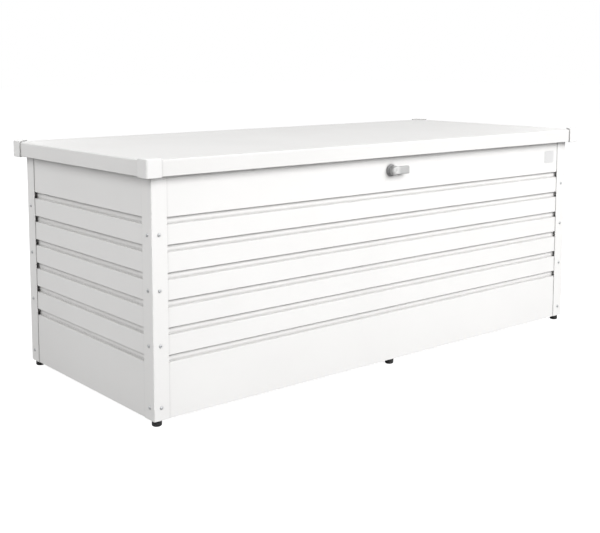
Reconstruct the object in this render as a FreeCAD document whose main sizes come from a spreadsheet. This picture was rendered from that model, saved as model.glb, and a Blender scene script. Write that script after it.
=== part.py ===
import FreeCAD, Part
import math
import os
from types import SimpleNamespace

import Sketcher

# Garden storage box of pressed sheet steel, with a hinged lid on two gas struts and a turning lock.
# Millimetres. The origin is on the ground under the middle of the box, +X runs along its length,
# +Y towards the hinges and +Z up. The lid is shut and the two locking rods are drawn in.

SIZES = [
    ("body_length", 1750, "over the corner posts"),
    ("body_width", 730, "over the corner posts"),
    ("total_height", 710, "ground to the top of the lid caps"),
    ("foot_height", 18, "ground to the underside of the body"),
    ("fit_gap", 0.3, "gap between faces that move past each other"),
    ("running_gap", 0.06, "radial gap of a shaft in its bore"),
    ("loose_gap", 0.5, "gap where sheet pieces are slid together"),
    ("panel_wall", 1.0, "sheet of the four walls"),
    ("rim_width", 24, "rim channels round the mouth, with the wall that they lie against"),
    ("rim_height", 12, "rim channels"),
    ("groove_count", 6, "pressed grooves in each wall"),
    ("groove_drop", 157, "top of the caps to the top edge of the highest groove"),
    ("groove_pitch", 73, "from groove to groove"),
    ("groove_height", 20, "mouth of a groove"),
    ("groove_depth", 10, "depth of a groove"),
    ("groove_slope", 1.5, "height that a groove's sloping side takes"),
    ("post_wall", 2.0, "sheet of the corner posts"),
    ("post_flange", 47, "width of each post flange"),
    ("post_bend", 2.5, "outer bend radius of a post"),
    ("screw_inset", 22, "post edge to the screw line"),
    ("above_land", 2.5, "middle of a flat between two grooves up to a screw or a strut stud"),
    ("screw_rise", 34, "underside of a base rail to the lowest screws"),
    ("screw_shank", 2.5, "radius of the post screws"),
    ("screw_head", 4.75, "radius of their heads"),
    ("screw_head_flat", 3.5, "radius of the flat on a head"),
    ("screw_head_rise", 2.6, "height of their heads"),
    ("nut_radius", 4.6, "corner radius of their nuts"),
    ("nut_height", 4.0, "height of their nuts"),
    ("screw_tail", 1.0, "thread past the nut"),
    ("rail_height", 41, "base rails"),
    ("rail_flange", 30, "base rails"),
    ("rail_wall", 1.5, "sheet of the base and cross rails"),
    ("cross_rail_width", 40, "rails under the floor"),
    ("cross_rail_inset", 439, "side of the posts to the middle of an outer cross rail"),
    ("floor_wall", 1.2, "sheet of the floor"),
    ("foot_inset", 18.6, "outer face of the body to the middle of a foot"),
    ("foot_radius", 13.5, "rubber foot"),
    ("foot_round", 5, "rounding under a foot"),
    ("stem_radius", 4, "threaded stem of a foot"),
    ("stem_rise", 13, "stem above the underside of the body"),
    ("stem_nut_radius", 7.5, "corner radius of a stem's nut"),
    ("stem_nut_height", 6.5, "height of a stem's nut"),
    ("hole_gap", 0.3, "radial gap of a screw or stem in its hole"),
    ("seal_height", 10.5, "rubber seal round the mouth"),
    ("seal_width", 14, "rubber seal round the mouth"),
    ("seal_inset", 3, "outer face of a wall to the seal"),
    ("seal_round", 3, "rounded top edges of the seal"),
    ("cap_overhang", 30, "lid caps outside the posts"),
    ("cap_rise", 4, "lid caps above the lid sheet"),
    ("cap_wall", 4, "side walls of the lid caps"),
    ("cap_leg", 45, "length of a cap along each side"),
    ("cap_height", 50, "height of the lid caps"),
    ("cap_round", 2.5, "outer corner of a cap"),
    ("band_height", 44, "height of the lid's side band"),
    ("lid_wall", 1.2, "sheet of the lid"),
    ("lid_round", 4, "rounded top edge of the lid"),
    ("lid_hem", 6, "inward hem of the side band"),
    ("rib_width", 60, "stiffening ribs of the lid"),
    ("rib_height", 18, "stiffening ribs of the lid"),
    ("rib_inset", 425, "side of the posts to the middle of an outer rib"),
    ("rib_front_inset", 40, "front of the posts to the front end of a rib"),
    ("rib_back_inset", 65, "back of the posts to the back end of a rib"),
    ("hinge_axis_out", 13, "back of the posts to the hinge axis"),
    ("hinge_axis_drop", 45, "top of the caps to the hinge axis"),
    ("hinge_inset", 275, "side of the posts to the middle of an outer hinge"),
    ("hinge_leaf_half", 40, "half the length of a hinge leaf"),
    ("hinge_leaf_wall", 2, "sheet of a hinge leaf"),
    ("wall_leaf_height", 62, "height of the wall leaf"),
    ("wall_leaf_drop", 20, "top of the caps to the top of the wall leaf"),
    ("lid_leaf_drop", 10, "top of the caps to the top of the lid leaf"),
    ("knuckle_radius", 5, "hinge knuckle"),
    ("knuckle_half", 13, "half the length of the lid's knuckle"),
    ("hinge_arm", 4, "half the height of a hinge arm"),
    ("hinge_pin_radius", 2.5, "hinge pin"),
    ("pin_head_radius", 4, "hinge pin head"),
    ("pin_head_length", 1.5, "hinge pin head"),
    ("rivet_radius", 2.4, "hinge rivets"),
    ("rivet_head", 4.6, "radius of a rivet head"),
    ("rivet_head_rise", 1.8, "height of a rivet head"),
    ("rivet_inset", 25, "middle of a hinge to its rivets"),
    ("rivet_rise", 12, "foot of the wall leaf to the rivets"),
    ("lid_opening", 75, "degrees that the lid opens"),
    ("strut_inset", 43, "outer side of the posts to a strut"),
    ("strut_wall_inset", 175, "back of the posts to a strut's lower end"),
    ("strut_lid_arm", 120, "hinge axis to the strut's upper end"),
    ("strut_lid_drop", 26, "top of the caps to a strut's upper end"),
    ("strut_tube_radius", 9, "gas strut tube"),
    ("strut_tube_wall", 1.5, "gas strut tube"),
    ("strut_tube_start", 12, "lower eye to the tube"),
    ("strut_tube_length", 200, "gas strut tube"),
    ("strut_gland", 8, "closed end of the tube round the rod"),
    ("strut_rod_radius", 4, "gas strut rod"),
    ("strut_piston", 10, "length of the piston"),
    ("strut_end_play", 3, "piston to the gland when the lid is open"),
    ("eye_radius", 8, "eye at each end of a strut"),
    ("eye_width", 10, "eye at each end of a strut"),
    ("stud_radius", 4, "studs that the eyes turn on"),
    ("stud_collar", 6, "collar of a stud"),
    ("bracket_wall", 3, "strut brackets"),
    ("bracket_half", 20, "half the width of a strut bracket"),
    ("ear_drop", 12, "upper stud to the end of the lid bracket"),
    ("ear_half", 14, "half the width of the lid bracket"),
    ("lock_x", -18, "middle of the box to the lock axis"),
    ("lock_drop", 92, "top of the caps to the lock axis"),
    ("rosette_radius", 18.5, "collar round the handle"),
    ("rosette_height", 8, "collar round the handle"),
    ("handle_reach", 26.5, "front wall to the face of the handle"),
    ("hub_radius", 14.5, "handle hub"),
    ("hub_round", 2.5, "rounded face of the hub"),
    ("wing_reach", 60, "lock axis to the end of the grip"),
    ("wing_wall", 12, "thickness of the grip"),
    ("wing_root", 13.5, "half the height of the grip at the hub"),
    ("wing_tip", 12.5, "half the height of the grip at its end"),
    ("wing_round", 3, "rounded edges of the grip"),
    ("plug_radius", 6.5, "key barrel"),
    ("plug_length", 11, "key barrel"),
    ("plug_rise", 0.8, "key barrel proud of the handle"),
    ("key_slot_height", 8, "key slot"),
    ("key_slot_width", 1.6, "key slot"),
    ("key_slot_depth", 7, "key slot"),
    ("spindle_radius", 4, "spindle behind the handle"),
    ("spindle_socket", 5, "spindle inside the handle"),
    ("spindle_end", 2, "spindle past the cam"),
    ("rod_plane", 45, "front wall to the locking rods"),
    ("rod_radius", 4, "locking rods"),
    ("rod_inset", 283, "side of the posts to a rod's end when drawn in"),
    ("yoke_wall", 4, "slotted end of a rod"),
    ("yoke_rim", 4, "metal round the slot"),
    ("cam_wall", 4, "cam disc"),
    ("cam_gap", 3, "rod yokes to the cam disc"),
    ("cam_pin_arm", 20, "lock axis to a cam pin"),
    ("cam_pin_radius", 3, "cam pins"),
    ("cam_pin_play", 0.9, "cam pin in its slot, crosswise"),
    ("cam_rim", 3, "metal outside a cam pin"),
    ("case_half_length", 38, "lock case along the box"),
    ("case_half_height", 30, "lock case upwards"),
    ("case_wall", 2, "sheet of the lock case"),
    ("case_gap", 6, "lock case to the rod yokes"),
    ("guide_near", 90, "lock axis to the inner guides"),
    ("guide_inset", 30, "a rod's end to the middle of its outer guide"),
    ("guide_length", 12, "guide along the rod"),
    ("guide_half", 9, "half the height of a guide"),
    ("guide_back", 8, "metal behind the rod"),
    ("keeper_gap", 8, "a rod's end to its keeper"),
    ("keeper_wall", 3, "keeper plate"),
    ("keeper_half", 12, "half the width of a keeper"),
    ("keeper_drop", 14, "rod to the lower end of the keeper"),
    ("keeper_hole", 5.5, "radius of the hole in a keeper"),
    ("keeper_foot", 30, "length of the keeper's fixing foot"),
    ("badge_width", 50, "blank plate at the upper right"),
    ("badge_height", 40, "blank plate at the upper right"),
    ("badge_wall", 0.8, "blank plate"),
    ("badge_round", 3, "corners of the blank plate"),
    ("badge_side_gap", 21, "right post flange to the plate"),
    ("badge_drop", 100, "top of the caps to the middle of the plate"),
]


class Size:
    """A length that knows its value in millimetres and the sheet expression that it comes from."""

    def __init__(self, value, text):
        self.value = float(value)
        self.text = text

    def join(self, other, sign, value):
        return Size(value, "(%s %s %s)" % (self.text, sign, other.text))

    def __add__(self, other):
        other = size(other)
        return self.join(other, "+", self.value + other.value)

    def __sub__(self, other):
        other = size(other)
        return self.join(other, "-", self.value - other.value)

    def __mul__(self, other):
        other = size(other)
        return self.join(other, "*", self.value * other.value)

    def __truediv__(self, other):
        other = size(other)
        return self.join(other, "/", self.value / other.value)

    def __neg__(self):
        return self * -1

    def __radd__(self, other):
        return size(other) + self

    def __rsub__(self, other):
        return size(other) - self

    def __rmul__(self, other):
        return size(other) * self


def size(number):
    """A plain number as a Size; a Size stays as it is."""
    return number if isinstance(number, Size) else Size(number, repr(float(number)))


doc = FreeCAD.newDocument("garden_storage_box")
sheet = doc.addObject("Spreadsheet::Sheet", "Sizes")
for row, (alias, value, meaning) in enumerate(SIZES, start=1):
    sheet.set("A%d" % row, alias.replace("_", " "))
    sheet.set("B%d" % row, str(value))
    sheet.set("C%d" % row, meaning)
    sheet.setAlias("B%d" % row, alias)
doc.recompute()
s = SimpleNamespace(**{alias: Size(getattr(sheet, alias), "Sizes." + alias) for alias, _, _ in SIZES})

SIDES = (("left", -1), ("right", 1))
PLACES = (("left", -1), ("middle", 0), ("right", 1))
AXIS_TURN = {
    "X": FreeCAD.Rotation(FreeCAD.Vector(0, 1, 0), 90),
    "Y": FreeCAD.Rotation(FreeCAD.Vector(1, 0, 0), -90),
    "Z": FreeCAD.Rotation(),
}
AXES = ("x", "y", "z")
nodes = []


def bind(obj, prop, amount):
    """Ties a property of an object to the sheet."""
    obj.setExpression(prop, size(amount).text)


def place(obj, base, turn=FreeCAD.Rotation()):
    """Puts an object at three sizes, turned by a rotation."""
    obj.Placement = FreeCAD.Placement(FreeCAD.Vector(0, 0, 0), turn)
    for axis, amount in zip(AXES, base):
        bind(obj, "Placement.Base." + axis, amount)
    return obj


def new(kind, name):
    return doc.addObject(kind, name)


def box(name, low, high):
    """A block between two opposite corners."""
    ends = [sorted((size(a), size(b)), key=lambda end: end.value) for a, b in zip(low, high)]
    block = new("Part::Box", name)
    for prop, (start, end) in zip(("Length", "Width", "Height"), ends):
        bind(block, prop, end - start)
    return place(block, [start for start, _ in ends])


def rod(name, axis, start, radius, length):
    """A cylinder from a start point along +X, +Y or +Z."""
    cylinder = new("Part::Cylinder", name)
    bind(cylinder, "Radius", radius)
    bind(cylinder, "Height", length)
    return place(cylinder, start, AXIS_TURN[axis])


def cone(name, axis, start, radius_start, radius_end, length):
    """A cone frustum from a start point along +X, +Y or +Z."""
    frustum = new("Part::Cone", name)
    bind(frustum, "Radius1", radius_start)
    bind(frustum, "Radius2", radius_end)
    bind(frustum, "Height", length)
    return place(frustum, start, AXIS_TURN[axis])


def hexagon(name, axis, start, radius, length):
    """A six-sided prism from a start point along +X, +Y or +Z."""
    prism = new("Part::Prism", name)
    prism.Polygon = 6
    bind(prism, "Circumradius", radius)
    bind(prism, "Height", length)
    return place(prism, start, AXIS_TURN[axis])


def fuse(name, shapes):
    joined = new("Part::MultiFuse", name)
    joined.Shapes = shapes
    return joined


def cut(name, base, tools):
    """The base with one tool, or several, taken away."""
    taken = new("Part::Cut", name)
    taken.Base = base
    taken.Tool = tools[0] if len(tools) == 1 else fuse(name + "_tools", tools)
    return taken


def group(name, shapes):
    """Separate solids that share one node."""
    several = new("Part::Compound", name)
    several.Links = shapes
    return several


def node(label, obj):
    """Marks an object as a finished sub-part; its label names its file."""
    obj.Label = label
    nodes.append(obj)
    return obj


def body(name):
    return new("PartDesign::Body", name + "_body")


def sketch(owner, name, role, offset=None):
    """An empty sketch on one of its own body's origin planes, raised along the plane's normal."""
    flat = owner.newObject("Sketcher::SketchObject", name)
    plane = next(feature for feature in owner.Origin.OriginFeatures if feature.Role == role)
    flat.AttachmentSupport = [(plane, "")]
    flat.MapMode = "FlatFace"
    if offset is not None:
        raised = FreeCAD.Vector(0, 0, size(offset).value)
        flat.AttachmentOffset = FreeCAD.Placement(raised, FreeCAD.Rotation())
        bind(flat, "AttachmentOffset.Base.z", offset)
    return flat


def pin_point(flat, geometry, which, x, y):
    """Holds a point of a sketch at two sizes from its origin."""
    for kind, amount in (("DistanceX", size(x)), ("DistanceY", size(y))):
        index = flat.addConstraint(Sketcher.Constraint(kind, -1, 1, geometry, which, amount.value))
        bind(flat, "Constraints[%d]" % index, amount)


def draw_polygon(flat, points):
    """A closed outline of straight lines, every corner held at its two sizes."""
    corners = [FreeCAD.Vector(size(x).value, size(y).value, 0) for x, y in points]
    first = flat.GeometryCount
    count = len(corners)
    for i in range(count):
        flat.addGeometry(Part.LineSegment(corners[i], corners[(i + 1) % count]), False)
    for i in range(count):
        flat.addConstraint(Sketcher.Constraint("Coincident", first + i, 2, first + (i + 1) % count, 1))
    for i, (x, y) in enumerate(points):
        pin_point(flat, first + i, 1, x, y)


def draw_rectangle(flat, low, high):
    draw_polygon(flat, [(low[0], low[1]), (high[0], low[1]), (high[0], high[1]), (low[0], high[1])])


def draw_circle(flat, x, y, radius):
    centre = FreeCAD.Vector(size(x).value, size(y).value, 0)
    index = flat.addGeometry(Part.Circle(centre, FreeCAD.Vector(0, 0, 1), size(radius).value), False)
    pin_point(flat, index, 3, x, y)
    constraint = flat.addConstraint(Sketcher.Constraint("Radius", index, size(radius).value))
    bind(flat, "Constraints[%d]" % constraint, radius)


def pad(owner, name, flat, length, midplane=False, back=False):
    feature = owner.newObject("PartDesign::Pad", name)
    feature.Profile = flat
    bind(feature, "Length", length)
    feature.Midplane = midplane
    feature.Reversed = back
    return feature


def pocket(owner, name, flat, length=None, back=False):
    """A cut of a given depth, or right through both ways when no length is given."""
    feature = owner.newObject("PartDesign::Pocket", name)
    feature.Profile = flat
    if length is None:
        feature.Type = "ThroughAll"
        feature.Midplane = True
    else:
        bind(feature, "Length", length)
        feature.Reversed = back
    return feature


def drill(owner, name, role, circles, length=None, back=False):
    """Round holes, each an (x, y, radius) in the plane's own directions."""
    flat = sketch(owner, name + "_sketch", role)
    for x, y, radius in circles:
        draw_circle(flat, x, y, radius)
    return pocket(owner, name, flat, length, back)


def round_edges(owner, name, chosen, radius):
    """Fillets the edges of the body's tip that a test picks."""
    doc.recompute()
    tip = owner.Tip
    names = ["Edge%d" % (i + 1) for i, edge in enumerate(tip.Shape.Edges) if chosen(edge)]
    feature = owner.newObject("PartDesign::Fillet", name)
    feature.Base = (tip, names)
    bind(feature, "Radius", radius)
    return feature


def edge_box(edge):
    """The lowest and highest corner of an edge."""
    bounds = edge.BoundBox
    return (bounds.XMin, bounds.YMin, bounds.ZMin), (bounds.XMax, bounds.YMax, bounds.ZMax)


def at(value, amount):
    """True where a coordinate equals a size."""
    return abs(value - size(amount).value) < 1e-4


def on_corner(edge):
    """True for the upright edge at a piece's own corner."""
    return all(at(v, 0) for v in edge_box(edge)[1][:2])


def z_turn(degrees):
    return FreeCAD.Rotation(FreeCAD.Vector(0, 0, 1), degrees)


# Levels and faces that several pieces share

half_length = s.body_length / 2
half_width = s.body_width / 2
lid_top = s.total_height - s.cap_rise
lid_under = lid_top - s.lid_wall
body_top = lid_under - s.fit_gap - s.seal_height
wall_height = body_top - s.foot_height
wall_front = half_width - s.post_wall
wall_side = half_length - s.post_wall
inner_front = wall_front - s.panel_wall
inner_side = wall_side - s.panel_wall
rail_low = s.foot_height
rail_top = rail_low + s.rail_height
foot_spots = [(side * (half_length - s.foot_inset), name) for name, side in PLACES]
groove_top = s.total_height - s.groove_drop
cap_bottom = s.total_height - s.cap_height
band_bottom = lid_top - s.band_height
hinge_y = half_width + s.hinge_axis_out
hinge_z = s.total_height - s.hinge_axis_drop
hinge_reach = half_length - s.hinge_inset
rod_reach = half_length - s.rod_inset
strut_x = half_length - s.strut_inset
strut_wall_y = half_width - s.strut_wall_inset
strut_lid_z = s.total_height - s.strut_lid_drop
lock_z = s.total_height - s.lock_drop


def land(number):
    """The height of the middle of the flat below a groove, counted from the highest groove."""
    return groove_top - s.groove_height / 2 - s.groove_pitch * (number - 0.5)


screw_levels = [land(number) + s.above_land for number in (1, 3, 5)] + [rail_low + s.screw_rise]
strut_wall_z = land(2) + s.above_land
screw_hole = s.screw_shank + s.hole_gap
stem_hole = s.stem_radius + s.hole_gap


# The four walls

def wall_panel(name, length, base, turn, screw_half):
    """A wall: a sheet with pressed grooves, its outer face at local y = 0 and its foot at z = 0.

    Returns the body, to which the wall's own holes are added.
    """
    wall = s.panel_wall
    owner = body(name)
    face = sketch(owner, name + "_face", "YZ_Plane")
    draw_rectangle(face, (0, 0), (wall, wall_height))
    pad(owner, name + "_sheet", face, length, midplane=True)
    upper = groove_top - s.foot_height
    lower = upper - s.groove_height
    ridge = sketch(owner, name + "_ridge", "YZ_Plane")
    draw_polygon(ridge, [
        (wall / 2, upper + wall),
        (wall / 2, lower - wall),
        (s.groove_depth + wall, lower + s.groove_slope - wall),
        (s.groove_depth + wall, upper - s.groove_slope + wall),
    ])
    ridge_pad = pad(owner, name + "_ridge_pad", ridge, length, midplane=True)
    groove = sketch(owner, name + "_groove", "YZ_Plane")
    spread = s.groove_slope * wall / s.groove_depth
    draw_polygon(groove, [
        (-wall, upper + spread),
        (-wall, lower - spread),
        (s.groove_depth, lower + s.groove_slope),
        (s.groove_depth, upper - s.groove_slope),
    ])
    groove_cut = pocket(owner, name + "_groove_cut", groove)
    rows = owner.newObject("PartDesign::LinearPattern", name + "_grooves")
    rows.Originals = [ridge_pad, groove_cut]
    upright = next(feature for feature in owner.Origin.OriginFeatures if feature.Role == "Z_Axis")
    rows.Direction = (upright, [""])
    rows.Reversed = True
    bind(rows, "Length", s.groove_pitch * (s.groove_count - 1))
    bind(rows, "Occurrences", s.groove_count)
    owner.Tip = rows
    drill(owner, name + "_screw_holes", "XZ_Plane",
          [(side * screw_half, level - s.foot_height, screw_hole)
           for _, side in SIDES for level in screw_levels])
    place(owner, base, turn)
    return owner


long_wall = 2 * (inner_side - s.loose_gap)
short_wall = 2 * (inner_front - s.groove_depth - 2 * s.loose_gap)
long_screws = half_length - s.screw_inset
short_screws = half_width - s.screw_inset

front_panel = wall_panel("front_panel", long_wall, (0, -wall_front, s.foot_height), z_turn(0), long_screws)
drill(front_panel, "front_spindle_hole", "XZ_Plane",
      [(s.lock_x, lock_z - s.foot_height, s.spindle_radius + 2 * s.loose_gap)])
node("front_panel", front_panel)

back_panel = wall_panel("back_panel", long_wall, (0, wall_front, s.foot_height), z_turn(180), long_screws)
wall_leaf_high = s.total_height - s.wall_leaf_drop
wall_leaf_low = wall_leaf_high - s.wall_leaf_height
rivet_level = wall_leaf_low + s.rivet_rise
rivet_hole = s.rivet_radius + s.running_gap
rivet_spots = [spot * hinge_reach + side * s.rivet_inset for _, spot in PLACES for _, side in SIDES]
drill(back_panel, "back_rivet_holes", "XZ_Plane",
      [(x, rivet_level - s.foot_height, rivet_hole) for x in rivet_spots])
node("back_panel", back_panel)

for side_name, side in SIDES:
    name = side_name + "_side_panel"
    node(name, wall_panel(name, short_wall, (side * wall_side, 0, s.foot_height), z_turn(90 * side),
                          short_screws))


def wall_rim(name, side, face, reach, swap):
    """A channel open downwards, inside the top edge of the wall whose outer face is given.

    It runs along X, or along Y when swapped, to the same distance on both sides of the middle.
    """
    wall = s.panel_wall

    def corner(along_it, across, height):
        x, y = along_it, side * across
        return (y, x, height) if swap else (x, y, height)

    outer = box(name + "_outer", corner(-reach, face - wall, body_top - s.rim_height),
                corner(reach, face - s.rim_width, body_top))
    room = box(name + "_room", corner(-reach - wall, face - 2 * wall, body_top - s.rim_height - wall),
               corner(reach + wall, face - s.rim_width + wall, body_top - wall))
    return cut(name, outer, [room])


short_rim = wall_front - s.rim_width - 2 * s.loose_gap
rims = []
for name, side in (("front", -1), ("back", 1)):
    rims.append(wall_rim(name + "_rim", side, wall_front, long_wall / 2, False))
for name, side in SIDES:
    rims.append(wall_rim(name + "_rim", side, wall_side, short_rim, True))
node("wall_rims", group("wall_rim_group", rims))


# Corner posts

def corner_post(label, corner, degrees):
    """An angle section round the outside of a corner, with a line of screw holes in each flange."""
    owner = body(label)
    outline = sketch(owner, label + "_outline", "XY_Plane")
    width, wall = s.post_flange, s.post_wall
    draw_polygon(outline, [(0, 0), (width, 0), (width, wall), (wall, wall), (wall, width), (0, width)])
    pad(owner, label + "_pad", outline, wall_height)
    levels = [level - s.foot_height for level in screw_levels]
    drill(owner, label + "_front_holes", "XZ_Plane", [(s.screw_inset, level, screw_hole) for level in levels])
    drill(owner, label + "_side_holes", "YZ_Plane", [(s.screw_inset, level, screw_hole) for level in levels])
    round_edges(owner, label + "_bend", on_corner, s.post_bend)
    place(owner, corner, z_turn(degrees))
    return node(label, owner)


corner_post("corner_post_front_left", (-half_length, -half_width, s.foot_height), 0)
corner_post("corner_post_front_right", (half_length, -half_width, s.foot_height), 90)
corner_post("corner_post_back_right", (half_length, half_width, s.foot_height), 180)
corner_post("corner_post_back_left", (-half_length, half_width, s.foot_height), 270)


# Base rails, cross rails and floor

def base_rail(label, length, base, degrees, screw_half=None):
    """A channel inside the foot of a wall, its open side inwards; two of them carry the feet."""
    owner = body(label)
    outline = sketch(owner, label + "_outline", "YZ_Plane")
    wall, width, height = s.rail_wall, s.rail_flange, s.rail_height
    draw_polygon(outline, [
        (0, 0), (width, 0), (width, wall), (wall, wall),
        (wall, height - wall), (width, height - wall), (width, height), (0, height),
    ])
    pad(owner, label + "_pad", outline, length, midplane=True)
    if screw_half is not None:
        drill(owner, label + "_screw_holes", "XZ_Plane",
              [(side * screw_half, s.screw_rise, screw_hole) for _, side in SIDES])
        depth_in = s.foot_inset - s.post_wall - s.panel_wall
        drill(owner, label + "_stem_holes", "XY_Plane", [(x, depth_in, stem_hole) for x, _ in foot_spots],
              wall * 2, back=True)
    place(owner, base, z_turn(degrees))
    return node(label, owner)


rail_reach = inner_front - s.rail_flange
base_rail("front_base_rail", long_wall, (0, -inner_front, rail_low), 0, long_screws)
base_rail("back_base_rail", long_wall, (0, inner_front, rail_low), 180, long_screws)
for side_name, side in SIDES:
    base = (side * inner_side, 0, rail_low)
    base_rail(side_name + "_base_rail", 2 * (rail_reach - s.loose_gap), base, 90 * side)


def cross_rail(label, spot):
    """A channel open downwards, coped at both ends so that it slides into the long base rails."""
    owner = body(label)
    outline = sketch(owner, label + "_outline", "XZ_Plane")
    half, wall = s.cross_rail_width / 2, s.rail_wall
    height = s.rail_height - wall
    draw_polygon(outline, [
        (-half, 0), (wall - half, 0), (wall - half, height - wall), (half - wall, height - wall),
        (half - wall, 0), (half, 0), (half, height), (-half, height),
    ])
    reach = inner_front - wall - s.loose_gap
    pad(owner, label + "_pad", outline, 2 * reach, midplane=True)
    cope = sketch(owner, label + "_cope", "YZ_Plane")
    for _, side in SIDES:
        near, far = side * (rail_reach - s.loose_gap), side * (reach + wall)
        draw_rectangle(cope, (near, height - wall - s.fit_gap), (far, height + wall))
    pocket(owner, label + "_cope_cut", cope)
    return place(owner, (spot * (half_length - s.cross_rail_inset), 0, rail_low + wall))


cross_rails = [cross_rail("cross_rail_" + place_name, spot) for place_name, spot in PLACES]
node("cross_rails", group("cross_rail_group", cross_rails))


def floor_panel(label, side):
    """Half of the floor: a flat sheet on the base rails and the cross rails."""
    near, far = side * s.loose_gap / 2, side * (inner_side - s.loose_gap)
    across = inner_front - s.loose_gap
    floor_top = rail_top + s.floor_wall
    return node(label, box(label + "_sheet", (near, -across, rail_top), (far, across, floor_top)))


for side_name, side in SIDES:
    floor_panel("floor_panel_" + side_name, side)


# Feet

def foot(label, x, y):
    """A rubber pad with a rounded underside on a threaded stem."""
    owner = body(label)
    pad_sketch = sketch(owner, label + "_pad_sketch", "XY_Plane")
    draw_circle(pad_sketch, 0, 0, s.foot_radius)
    pad(owner, label + "_pad", pad_sketch, s.foot_height)
    round_edges(owner, label + "_rounding", lambda edge: at(edge_box(edge)[1][2], 0), s.foot_round)
    stem = sketch(owner, label + "_stem_sketch", "XY_Plane", s.foot_height)
    draw_circle(stem, 0, 0, s.stem_radius)
    pad(owner, label + "_stem", stem, s.stem_rise)
    place(owner, (x, y, 0))
    return node(label, owner)


foot_rows = (("front", s.foot_inset - half_width), ("back", half_width - s.foot_inset))
for row_name, y in foot_rows:
    for x, place_name in foot_spots:
        foot("foot_%s_%s" % (row_name, place_name), x, y)


# Screws and nuts

def post_screw_parts():
    """Every post screw as (name, axis, direction, face point, grip): 4 levels on both flanges of 4 posts.

    The face point is on the outer face of the post, and the direction, 1 or -1, leads into the box.
    """
    sheets = s.post_wall + s.panel_wall
    for level, height in enumerate(screw_levels):
        for x_name, x_side in SIDES:
            for y_name, y_side in (("front", -1), ("back", 1)):
                grip = sheets + s.rail_wall if level == 3 else sheets
                name = "%s_%s_%d" % (y_name, x_name, level)
                yield name + "_y", "Y", -y_side, (x_side * long_screws, y_side * half_width, height), grip
                yield name + "_x", "X", -x_side, (x_side * half_length, y_side * short_screws, height), sheets


def along(point, axis, distance):
    """A point moved along one axis."""
    moved = list(point)
    index = "XYZ".index(axis)
    moved[index] = point[index] + distance
    return moved


def span(point, axis, direction, start, length):
    """The low end of a stretch that starts at a distance into the box and has a length."""
    return along(point, axis, start if direction > 0 else -(start + length))


screws = []
nuts = []
for name, axis, direction, point, grip in post_screw_parts():
    reach = grip + s.nut_height + s.screw_tail
    shank = rod("shank_" + name, axis, span(point, axis, direction, size(0), reach), s.screw_shank, reach)
    head_radii = (s.screw_head_flat, s.screw_head)
    if direction < 0:
        head_radii = head_radii[::-1]
    head = cone("head_" + name, axis, span(point, axis, direction, -s.screw_head_rise, s.screw_head_rise),
                head_radii[0], head_radii[1], s.screw_head_rise)
    screws.append(fuse("screw_" + name, [shank, head]))
    start = span(point, axis, direction, grip, s.nut_height)
    nut = hexagon("nut_blank_" + name, axis, start, s.nut_radius, s.nut_height)
    bore = rod("nut_bore_" + name, axis, start, s.screw_shank + s.running_gap, s.nut_height)
    nuts.append(cut("nut_" + name, nut, [bore]))
for row_name, y in foot_rows:
    for x, place_name in foot_spots:
        name = "%s_%s" % (row_name, place_name)
        start = (x, y, rail_low + s.rail_wall)
        nut = hexagon("stem_nut_blank_" + name, "Z", start, s.stem_nut_radius, s.stem_nut_height)
        bore = rod("stem_nut_bore_" + name, "Z", start, s.stem_radius + s.running_gap, s.stem_nut_height)
        nuts.append(cut("stem_nut_" + name, nut, [bore]))
node("post_screws", group("post_screw_group", screws))
node("post_and_foot_nuts", group("nut_group", nuts))


# Seal round the mouth

seal = body("mouth_seal")
ring = sketch(seal, "seal_ring", "XY_Plane")
outer_x, outer_y = wall_side - s.seal_inset, wall_front - s.seal_inset
draw_rectangle(ring, (-outer_x, -outer_y), (outer_x, outer_y))
mouth_x, mouth_y = outer_x - s.seal_width, outer_y - s.seal_width
draw_rectangle(ring, (-mouth_x, -mouth_y), (mouth_x, mouth_y))
pad(seal, "seal_pad", ring, s.seal_height)
round_edges(seal, "seal_rounding", lambda edge: at(edge_box(edge)[0][2], s.seal_height), s.seal_round)
place(seal, (0, 0, body_top))
node("mouth_seal", seal)


# Lid: sheet, corner caps and ribs

lid_x = half_length + s.cap_overhang - s.cap_wall
lid_y = half_width + s.cap_overhang - s.cap_wall

lid = body("lid_sheet")
plan = sketch(lid, "lid_plan", "XY_Plane")
draw_rectangle(plan, (-lid_x, -lid_y), (lid_x, lid_y))
pad(lid, "lid_block", plan, s.band_height)
round_edges(lid, "lid_rounding", lambda edge: at(edge_box(edge)[0][2], s.band_height), s.lid_round)
hollow = sketch(lid, "lid_hollow", "XY_Plane")
room_x, room_y = lid_x - s.lid_wall, lid_y - s.lid_wall
draw_rectangle(hollow, (-room_x, -room_y), (room_x, room_y))
pocket(lid, "lid_hollow_cut", hollow, s.band_height - s.lid_wall, back=True)
hem = sketch(lid, "lid_hem_sketch", "XY_Plane")
hem_x, hem_y = lid_x - s.lid_wall / 2, lid_y - s.lid_wall / 2
draw_rectangle(hem, (-hem_x, -hem_y), (hem_x, hem_y))
hem_x, hem_y = lid_x - s.lid_hem, lid_y - s.lid_hem
draw_rectangle(hem, (-hem_x, -hem_y), (hem_x, hem_y))
pad(lid, "lid_hem_pad", hem, s.lid_wall)
place(lid, (0, 0, band_bottom))
node("lid_sheet", lid)


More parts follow.
